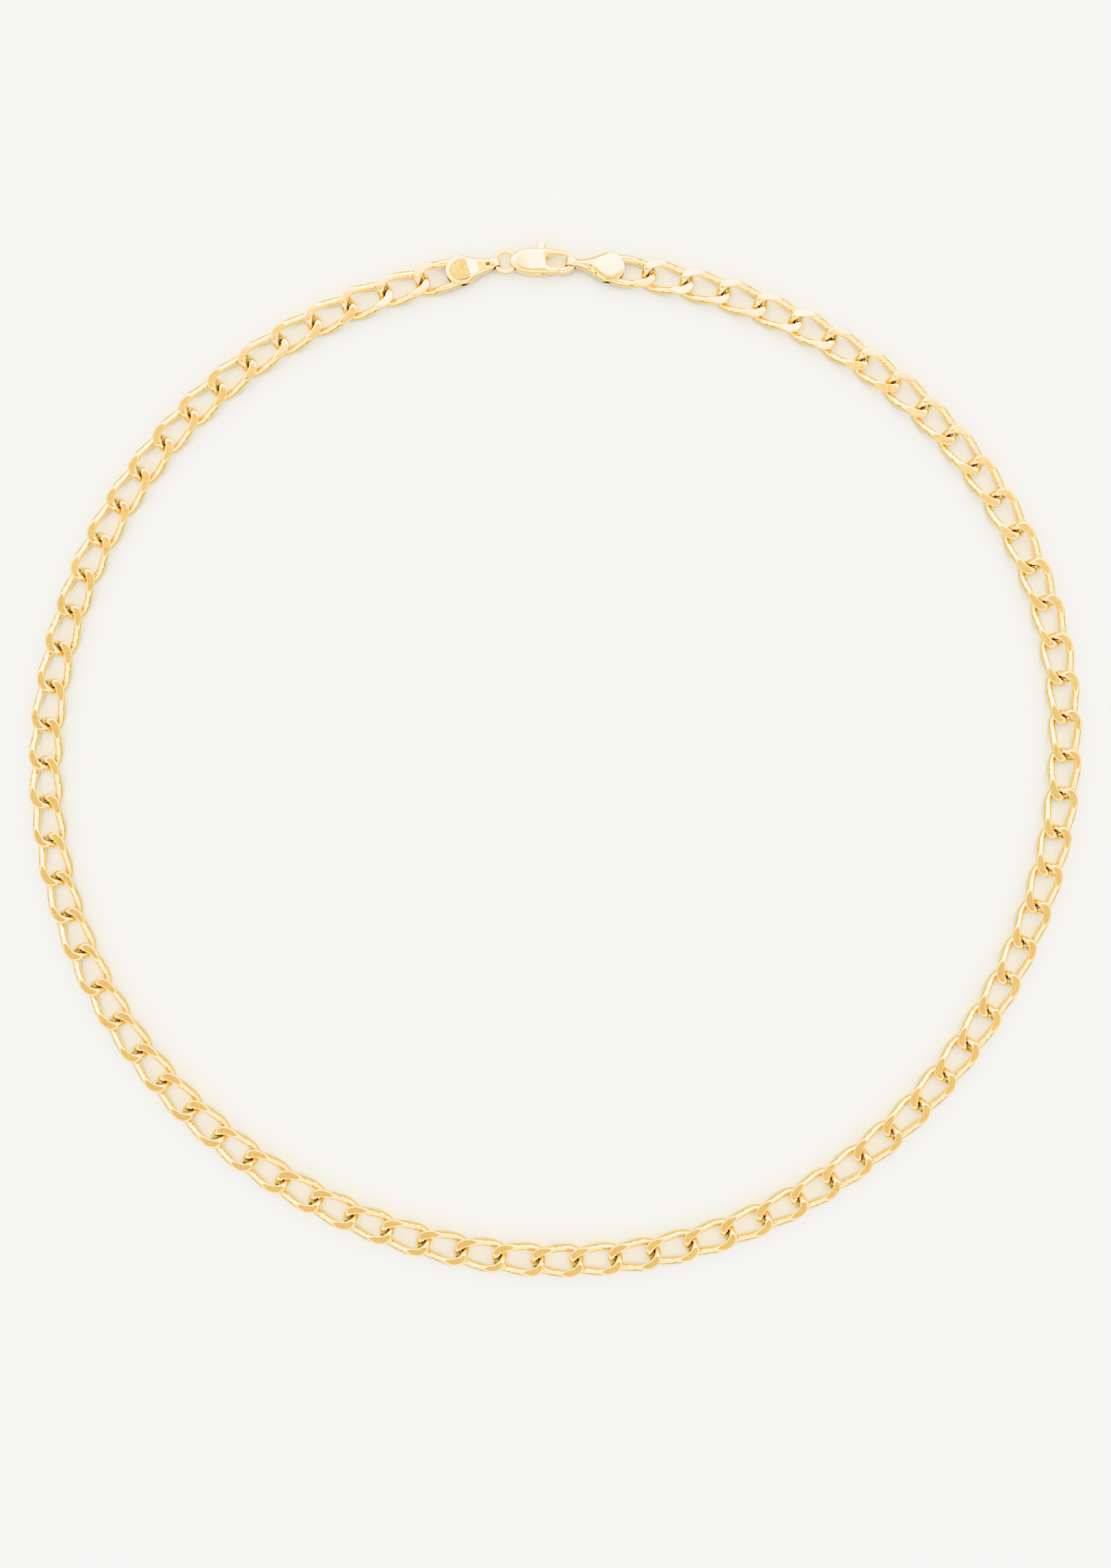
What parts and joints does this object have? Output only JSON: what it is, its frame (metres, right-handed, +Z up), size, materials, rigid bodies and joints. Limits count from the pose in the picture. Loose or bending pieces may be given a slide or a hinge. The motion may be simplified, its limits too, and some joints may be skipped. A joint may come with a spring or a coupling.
{
  "type": "chain necklace",
  "caption": "Open flat curb chain necklace lying in a closed loop, with folded end caps, a split jump ring and a sprung lobster clasp.",
  "frame": {"origin": "middle of the underside of the laid loop", "axes": "+Z up from the surface the necklace lies on, +Y from the middle link to the clasp, +X to the right seen from above"},
  "size_m": [0.1658, 0.1634, 0.0024],
  "materials": {
    "gold_plate": "polished yellow gold plating over brass, ground mirror flats on the links",
    "spring_steel": "bright spring strip"
  },
  "bodies": {
    "link_01": {"link_01": "gold_plate"},
    "links_02_03": {"links_02_03": "gold_plate"},
    "link_04": {"link_04": "gold_plate"},
    "links_05_06": {"links_05_06": "gold_plate"},
    "link_07": {"link_07": "gold_plate"},
    "links_08_09": {"links_08_09": "gold_plate"},
    "link_10": {"link_10": "gold_plate"},
    "links_11_12": {"links_11_12": "gold_plate"},
    "link_13": {"link_13": "gold_plate"},
    "links_14_15": {"links_14_15": "gold_plate"},
    "link_16": {"link_16": "gold_plate"},
    "links_17_18": {"links_17_18": "gold_plate"},
    "link_19": {"link_19": "gold_plate"},
    "links_20_21": {"links_20_21": "gold_plate"},
    "link_22": {"link_22": "gold_plate"},
    "links_23_24": {"links_23_24": "gold_plate"},
    "link_25": {"link_25": "gold_plate"},
    "links_26_27": {"links_26_27": "gold_plate"},
    "link_28": {"link_28": "gold_plate"},
    "links_29_30": {"links_29_30": "gold_plate"},
    "link_31": {"link_31": "gold_plate"},
    "links_32_33": {"links_32_33": "gold_plate"},
    "link_34": {"link_34": "gold_plate"},
    "links_35_36": {"links_35_36": "gold_plate"},
    "link_37": {"link_37": "gold_plate"},
    "links_38_39": {"links_38_39": "gold_plate"},
    "link_40": {"link_40": "gold_plate"},
    "links_41_42": {"links_41_42": "gold_plate"},
    "link_43": {"link_43": "gold_plate"},
    "links_44_45": {"links_44_45": "gold_plate"},
    "link_46": {"link_46": "gold_plate"},
    "links_47_48": {"links_47_48": "gold_plate"},
    "link_49": {"link_49": "gold_plate"},
    "links_50_51": {"links_50_51": "gold_plate"},
    "link_52": {"link_52": "gold_plate"},
    "links_53_54": {"links_53_54": "gold_plate"},
    "link_55": {"link_55": "gold_plate"},
    "links_56_57": {"links_56_57": "gold_plate"},
    "link_58": {"link_58": "gold_plate"},
    "links_59_60": {"links_59_60": "gold_plate"},
    "link_61": {"link_61": "gold_plate"},
    "links_62_63": {"links_62_63": "gold_plate"},
    "link_64": {"link_64": "gold_plate"},
    "links_65_66": {"links_65_66": "gold_plate"},
    "link_67": {"link_67": "gold_plate"},
    "links_68_69": {"links_68_69": "gold_plate"},
    "link_70": {"link_70": "gold_plate"},
    "links_71_72": {"links_71_72": "gold_plate"},
    "link_73": {"link_73": "gold_plate"},
    "links_74_75": {"links_74_75": "gold_plate"},
    "link_76": {"link_76": "gold_plate"},
    "links_77_78": {"links_77_78": "gold_plate"},
    "end_cap_right": {"end_cap_right": "gold_plate"},
    "end_cap_left": {"end_cap_left": "gold_plate"},
    "jump_ring": {"jump_ring": "gold_plate"},
    "clasp_body": {"clasp_body": "gold_plate", "clasp_pin": "gold_plate", "clasp_spring": "spring_steel"},
    "clasp_lever": {"clasp_lever": "gold_plate"}
  },
  "joints": [
    {"name": "loop_flex", "type": "hinge", "parent": "link_40", "child": "links_41_42", "pos_m": [-0.00278, -0.07918, 0.0011], "axis": [0, 0, 1], "range_deg": [-3.97, 3.97]},
    {"name": "drape_fold", "type": "hinge", "parent": "link_40", "child": "links_38_39", "pos_m": [0.00332, -0.07924, 0.0011], "axis": [0.0048, -1, 0], "range_deg": [0, 12]},
    {"name": "flex_37", "type": "hinge", "parent": "links_38_39", "child": "link_37", "pos_m": [0.01544, -0.07795, 0.0011], "axis": [0, 0, 1], "range_deg": [-6.9, 6.9]},
    {"name": "flex_35_36", "type": "hinge", "parent": "link_37", "child": "links_35_36", "pos_m": [0.02138, -0.07658, 0.0011], "axis": [0, 0, 1], "range_deg": [-6.6, 6.6]},
    {"name": "flex_34", "type": "hinge", "parent": "links_35_36", "child": "link_34", "pos_m": [0.03284, -0.07243, 0.0011], "axis": [0, 0, 1], "range_deg": [-6.2, 6.2]},
    {"name": "flex_32_33", "type": "hinge", "parent": "link_34", "child": "links_32_33", "pos_m": [0.03828, -0.06967, 0.0011], "axis": [0, 0, 1], "range_deg": [-5.9, 5.9]},
    {"name": "flex_31", "type": "hinge", "parent": "links_32_33", "child": "link_31", "pos_m": [0.04842, -0.06289, 0.0011], "axis": [0, 0, 1], "range_deg": [-5.4, 5.4]},
    {"name": "flex_29_30", "type": "hinge", "parent": "link_31", "child": "links_29_30", "pos_m": [0.05305, -0.05893, 0.0011], "axis": [0, 0, 1], "range_deg": [-5.2, 5.2]},
    {"name": "flex_28", "type": "hinge", "parent": "links_29_30", "child": "link_28", "pos_m": [0.06137, -0.05002, 0.0011], "axis": [0, 0, 1], "range_deg": [-6, 6]},
    {"name": "flex_26_27", "type": "hinge", "parent": "link_28", "child": "links_26_27", "pos_m": [0.06502, -0.04513, 0.0011], "axis": [0, 0, 1], "range_deg": [-6.1, 6.1]},
    {"name": "flex_25", "type": "hinge", "parent": "links_26_27", "child": "link_25", "pos_m": [0.07125, -0.03465, 0.0011], "axis": [0, 0, 1], "range_deg": [-6, 6]},
    {"name": "flex_23_24", "type": "hinge", "parent": "link_25", "child": "links_23_24", "pos_m": [0.07381, -0.02911, 0.0011], "axis": [0, 0, 1], "range_deg": [-5.9, 5.9]},
    {"name": "flex_22", "type": "hinge", "parent": "links_23_24", "child": "link_22", "pos_m": [0.07774, -0.01757, 0.0011], "axis": [0, 0, 1], "range_deg": [-5.6, 5.6]},
    {"name": "flex_20_21", "type": "hinge", "parent": "link_22", "child": "links_20_21", "pos_m": [0.07908, -0.01162, 0.0011], "axis": [0, 0, 1], "range_deg": [-5.4, 5.4]},
    {"name": "flex_19", "type": "hinge", "parent": "links_20_21", "child": "link_19", "pos_m": [0.08042, 0.0005, 0.0011], "axis": [0, 0, 1], "range_deg": [-5, 5]},
    {"name": "flex_17_18", "type": "hinge", "parent": "link_19", "child": "links_17_18", "pos_m": [0.08038, 0.0066, 0.0011], "axis": [0, 0, 1], "range_deg": [-4.7, 4.7]},
    {"name": "flex_16", "type": "hinge", "parent": "links_17_18", "child": "link_16", "pos_m": [0.07881, 0.01869, 0.0011], "axis": [0, 0, 1], "range_deg": [-4.4, 4.4]},
    {"name": "flex_14_15", "type": "hinge", "parent": "link_16", "child": "links_14_15", "pos_m": [0.07727, 0.02459, 0.0011], "axis": [0, 0, 1], "range_deg": [-4.2, 4.2]},
    {"name": "flex_13", "type": "hinge", "parent": "links_14_15", "child": "link_13", "pos_m": [0.07267, 0.03588, 0.0011], "axis": [0, 0, 1], "range_deg": [-4.1, 4.1]},
    {"name": "flex_11_12", "type": "hinge", "parent": "link_13", "child": "links_11_12", "pos_m": [0.06966, 0.04118, 0.0011], "axis": [0, 0, 1], "range_deg": [-4.1, 4.1]},
    {"name": "flex_10", "type": "hinge", "parent": "links_11_12", "child": "link_10", "pos_m": [0.0623, 0.0509, 0.0011], "axis": [0, 0, 1], "range_deg": [-4.3, 4.3]},
    {"name": "flex_08_09", "type": "hinge", "parent": "link_10", "child": "links_08_09", "pos_m": [0.05804, 0.05526, 0.0011], "axis": [0, 0, 1], "range_deg": [-4.5, 4.5]},
    {"name": "flex_07", "type": "hinge", "parent": "links_08_09", "child": "link_07", "pos_m": [0.04851, 0.06287, 0.0011], "axis": [0, 0, 1], "range_deg": [-5.8, 5.8]},
    {"name": "flex_05_06", "type": "hinge", "parent": "link_07", "child": "links_05_06", "pos_m": [0.04334, 0.0661, 0.0011], "axis": [0, 0, 1], "range_deg": [-5.6, 5.6]},
    {"name": "flex_04", "type": "hinge", "parent": "links_05_06", "child": "link_04", "pos_m": [0.03235, 0.07138, 0.0011], "axis": [0, 0, 1], "range_deg": [-5.2, 5.2]},
    {"name": "flex_02_03", "type": "hinge", "parent": "link_04", "child": "links_02_03", "pos_m": [0.02661, 0.07343, 0.0011], "axis": [0, 0, 1], "range_deg": [-5.1, 5.1]},
    {"name": "flex_01", "type": "hinge", "parent": "links_02_03", "child": "link_01", "pos_m": [0.01477, 0.07636, 0.0011], "axis": [0, 0, 1], "range_deg": [-5.1, 5.1]},
    {"name": "flex_cap_right", "type": "hinge", "parent": "link_01", "child": "end_cap_right", "pos_m": [0.00874, 0.07732, 0.0011], "axis": [0, 0, 1], "range_deg": [-5.1, 5.1]},
    {"name": "flex_43", "type": "hinge", "parent": "links_41_42", "child": "link_43", "pos_m": [-0.01488, -0.07768, 0.0011], "axis": [0, 0, 1], "range_deg": [-4.7, 4.7]},
    {"name": "flex_44_45", "type": "hinge", "parent": "link_43", "child": "links_44_45", "pos_m": [-0.02082, -0.07628, 0.0011], "axis": [0, 0, 1], "range_deg": [-4.9, 4.9]},
    {"name": "flex_46", "type": "hinge", "parent": "links_44_45", "child": "link_46", "pos_m": [-0.03232, -0.07224, 0.0011], "axis": [0, 0, 1], "range_deg": [-5.2, 5.2]},
    {"name": "flex_47_48", "type": "hinge", "parent": "link_46", "child": "links_47_48", "pos_m": [-0.03783, -0.06962, 0.0011], "axis": [0, 0, 1], "range_deg": [-5.3, 5.3]},
    {"name": "flex_49", "type": "hinge", "parent": "links_47_48", "child": "link_49", "pos_m": [-0.04823, -0.06325, 0.0011], "axis": [0, 0, 1], "range_deg": [-5.4, 5.4]},
    {"name": "flex_50_51", "type": "hinge", "parent": "link_49", "child": "links_50_51", "pos_m": [-0.05305, -0.05951, 0.0011], "axis": [0, 0, 1], "range_deg": [-5.5, 5.5]},
    {"name": "flex_52", "type": "hinge", "parent": "links_50_51", "child": "link_52", "pos_m": [-0.06178, -0.051, 0.0011], "axis": [0, 0, 1], "range_deg": [-5.5, 5.5]},
    {"name": "flex_53_54", "type": "hinge", "parent": "link_52", "child": "links_53_54", "pos_m": [-0.06562, -0.04627, 0.0011], "axis": [0, 0, 1], "range_deg": [-5.5, 5.5]},
    {"name": "flex_55", "type": "hinge", "parent": "links_53_54", "child": "link_55", "pos_m": [-0.07211, -0.03595, 0.0011], "axis": [0, 0, 1], "range_deg": [-5.4, 5.4]},
    {"name": "flex_56_57", "type": "hinge", "parent": "link_55", "child": "links_56_57", "pos_m": [-0.0747, -0.03042, 0.0011], "axis": [0, 0, 1], "range_deg": [-5.4, 5.4]},
    {"name": "flex_58", "type": "hinge", "parent": "links_56_57", "child": "link_58", "pos_m": [-0.07848, -0.01883, 0.0011], "axis": [0, 0, 1], "range_deg": [-5.3, 5.3]},
    {"name": "flex_59_60", "type": "hinge", "parent": "link_58", "child": "links_59_60", "pos_m": [-0.07964, -0.01285, 0.0011], "axis": [0, 0, 1], "range_deg": [-5.2, 5.2]},
    {"name": "flex_61", "type": "hinge", "parent": "links_59_60", "child": "link_61", "pos_m": [-0.0805, -0.00069, 0.0011], "axis": [0, 0, 1], "range_deg": [-5.1, 5.1]},
    {"name": "flex_62_63", "type": "hinge", "parent": "link_61", "child": "links_62_63", "pos_m": [-0.0802, 0.00541, 0.0011], "axis": [0, 0, 1], "range_deg": [-5, 5]},
    {"name": "flex_64", "type": "hinge", "parent": "links_62_63", "child": "link_64", "pos_m": [-0.07818, 0.01743, 0.0011], "axis": [0, 0, 1], "range_deg": [-4.9, 4.9]},
    {"name": "flex_65_66", "type": "hinge", "parent": "link_64", "child": "links_65_66", "pos_m": [-0.0765, 0.02329, 0.0011], "axis": [0, 0, 1], "range_deg": [-4.8, 4.8]},
    {"name": "flex_67", "type": "hinge", "parent": "links_65_66", "child": "link_67", "pos_m": [-0.07182, 0.03455, 0.0011], "axis": [0, 0, 1], "range_deg": [-4.6, 4.6]},
    {"name": "flex_68_69", "type": "hinge", "parent": "link_67", "child": "links_68_69", "pos_m": [-0.06886, 0.03988, 0.0011], "axis": [0, 0, 1], "range_deg": [-4.6, 4.6]},
    {"name": "flex_70", "type": "hinge", "parent": "links_68_69", "child": "link_70", "pos_m": [-0.06176, 0.0498, 0.0011], "axis": [0, 0, 1], "range_deg": [-4.5, 4.5]},
    {"name": "flex_71_72", "type": "hinge", "parent": "link_70", "child": "links_71_72", "pos_m": [-0.05766, 0.05432, 0.0011], "axis": [0, 0, 1], "range_deg": [-4.5, 4.5]},
    {"name": "flex_73", "type": "hinge", "parent": "links_71_72", "child": "link_73", "pos_m": [-0.04847, 0.06232, 0.0011], "axis": [0, 0, 1], "range_deg": [-6.5, 6.5]},
    {"name": "flex_74_75", "type": "hinge", "parent": "link_73", "child": "links_74_75", "pos_m": [-0.04343, 0.06576, 0.0011], "axis": [0, 0, 1], "range_deg": [-6.4, 6.4]},
    {"name": "flex_76", "type": "hinge", "parent": "links_74_75", "child": "link_76", "pos_m": [-0.03261, 0.07137, 0.0011], "axis": [0, 0, 1], "range_deg": [-6.2, 6.2]},
    {"name": "flex_77_78", "type": "hinge", "parent": "link_76", "child": "links_77_78", "pos_m": [-0.02691, 0.07353, 0.0011], "axis": [0, 0, 1], "range_deg": [-6.1, 6.1]},
    {"name": "flex_cap_left", "type": "hinge", "parent": "links_77_78", "child": "end_cap_left", "pos_m": [-0.01517, 0.07688, 0.0011], "axis": [0, 0, 1], "range_deg": [-5.8, 5.8]},
    {"name": "clasp_swing", "type": "hinge", "parent": "end_cap_left", "child": "clasp_body", "pos_m": [-0.00789, 0.07844, 0.0011], "axis": [0, 0, 1], "range_deg": [-5.6, 5.6]},
    {"name": "ring_turn", "type": "hinge", "parent": "end_cap_left", "child": "jump_ring", "pos_m": [-0.00789, 0.07844, 0.0011], "axis": [0, 0, 1], "continuous": true},
    {"name": "lever_press", "type": "hinge", "parent": "clasp_body", "child": "clasp_lever", "pos_m": [-0.0032, 0.07813, 0.0012], "axis": [0, 0, 1], "range_deg": [0, 24], "stiffness_Nm_per_rad": 0.002}
  ],
  "couplings": [
    {"joint": "flex_37", "follows": "loop_flex", "ratio": -1.587},
    {"joint": "flex_35_36", "follows": "loop_flex", "ratio": -1.5383},
    {"joint": "flex_34", "follows": "loop_flex", "ratio": -1.4269},
    {"joint": "flex_32_33", "follows": "loop_flex", "ratio": -1.3689},
    {"joint": "flex_31", "follows": "loop_flex", "ratio": -1.2575},
    {"joint": "flex_29_30", "follows": "loop_flex", "ratio": -1.2083},
    {"joint": "flex_28", "follows": "loop_flex", "ratio": 1.3921},
    {"joint": "flex_26_27", "follows": "loop_flex", "ratio": 1.4064},
    {"joint": "flex_25", "follows": "loop_flex", "ratio": 1.3924},
    {"joint": "flex_23_24", "follows": "loop_flex", "ratio": 1.3679},
    {"joint": "flex_22", "follows": "loop_flex", "ratio": 1.2921},
    {"joint": "flex_20_21", "follows": "loop_flex", "ratio": 1.2452},
    {"joint": "flex_19", "follows": "loop_flex", "ratio": 1.1429},
    {"joint": "flex_17_18", "follows": "loop_flex", "ratio": 1.0924},
    {"joint": "flex_16", "follows": "loop_flex", "ratio": 1.0032},
    {"joint": "flex_14_15", "follows": "loop_flex", "ratio": 0.96948},
    {"joint": "flex_13", "follows": "loop_flex", "ratio": 0.9332},
    {"joint": "flex_11_12", "follows": "loop_flex", "ratio": 0.93449},
    {"joint": "flex_10", "follows": "loop_flex", "ratio": 0.98172},
    {"joint": "flex_08_09", "follows": "loop_flex", "ratio": 1.0295},
    {"joint": "flex_07", "follows": "loop_flex", "ratio": -1.3479},
    {"joint": "flex_05_06", "follows": "loop_flex", "ratio": -1.2904},
    {"joint": "flex_04", "follows": "loop_flex", "ratio": -1.2087},
    {"joint": "flex_02_03", "follows": "loop_flex", "ratio": -1.1853},
    {"joint": "flex_01", "follows": "loop_flex", "ratio": -1.1739},
    {"joint": "flex_cap_right", "follows": "loop_flex", "ratio": -1.1859},
    {"joint": "flex_43", "follows": "loop_flex", "ratio": 1.0849},
    {"joint": "flex_44_45", "follows": "loop_flex", "ratio": 1.1242},
    {"joint": "flex_46", "follows": "loop_flex", "ratio": 1.1925},
    {"joint": "flex_47_48", "follows": "loop_flex", "ratio": 1.2196},
    {"joint": "flex_49", "follows": "loop_flex", "ratio": 1.2564},
    {"joint": "flex_50_51", "follows": "loop_flex", "ratio": 1.2648},
    {"joint": "flex_52", "follows": "loop_flex", "ratio": -1.2627},
    {"joint": "flex_53_54", "follows": "loop_flex", "ratio": -1.2621},
    {"joint": "flex_55", "follows": "loop_flex", "ratio": -1.2535},
    {"joint": "flex_56_57", "follows": "loop_flex", "ratio": -1.2457},
    {"joint": "flex_58", "follows": "loop_flex", "ratio": -1.2234},
    {"joint": "flex_59_60", "follows": "loop_flex", "ratio": -1.2095},
    {"joint": "flex_61", "follows": "loop_flex", "ratio": -1.1771},
    {"joint": "flex_62_63", "follows": "loop_flex", "ratio": -1.1595},
    {"joint": "flex_64", "follows": "loop_flex", "ratio": -1.1229},
    {"joint": "flex_65_66", "follows": "loop_flex", "ratio": -1.1049},
    {"joint": "flex_67", "follows": "loop_flex", "ratio": -1.0713},
    {"joint": "flex_68_69", "follows": "loop_flex", "ratio": -1.0568},
    {"joint": "flex_70", "follows": "loop_flex", "ratio": -1.0344},
    {"joint": "flex_71_72", "follows": "loop_flex", "ratio": -1.0276},
    {"joint": "flex_73", "follows": "loop_flex", "ratio": 1.4973},
    {"joint": "flex_74_75", "follows": "loop_flex", "ratio": 1.4865},
    {"joint": "flex_76", "follows": "loop_flex", "ratio": 1.4429},
    {"joint": "flex_77_78", "follows": "loop_flex", "ratio": 1.4123},
    {"joint": "flex_cap_left", "follows": "loop_flex", "ratio": 1.3406},
    {"joint": "clasp_swing", "follows": "loop_flex", "ratio": 1.2933}
  ]
}
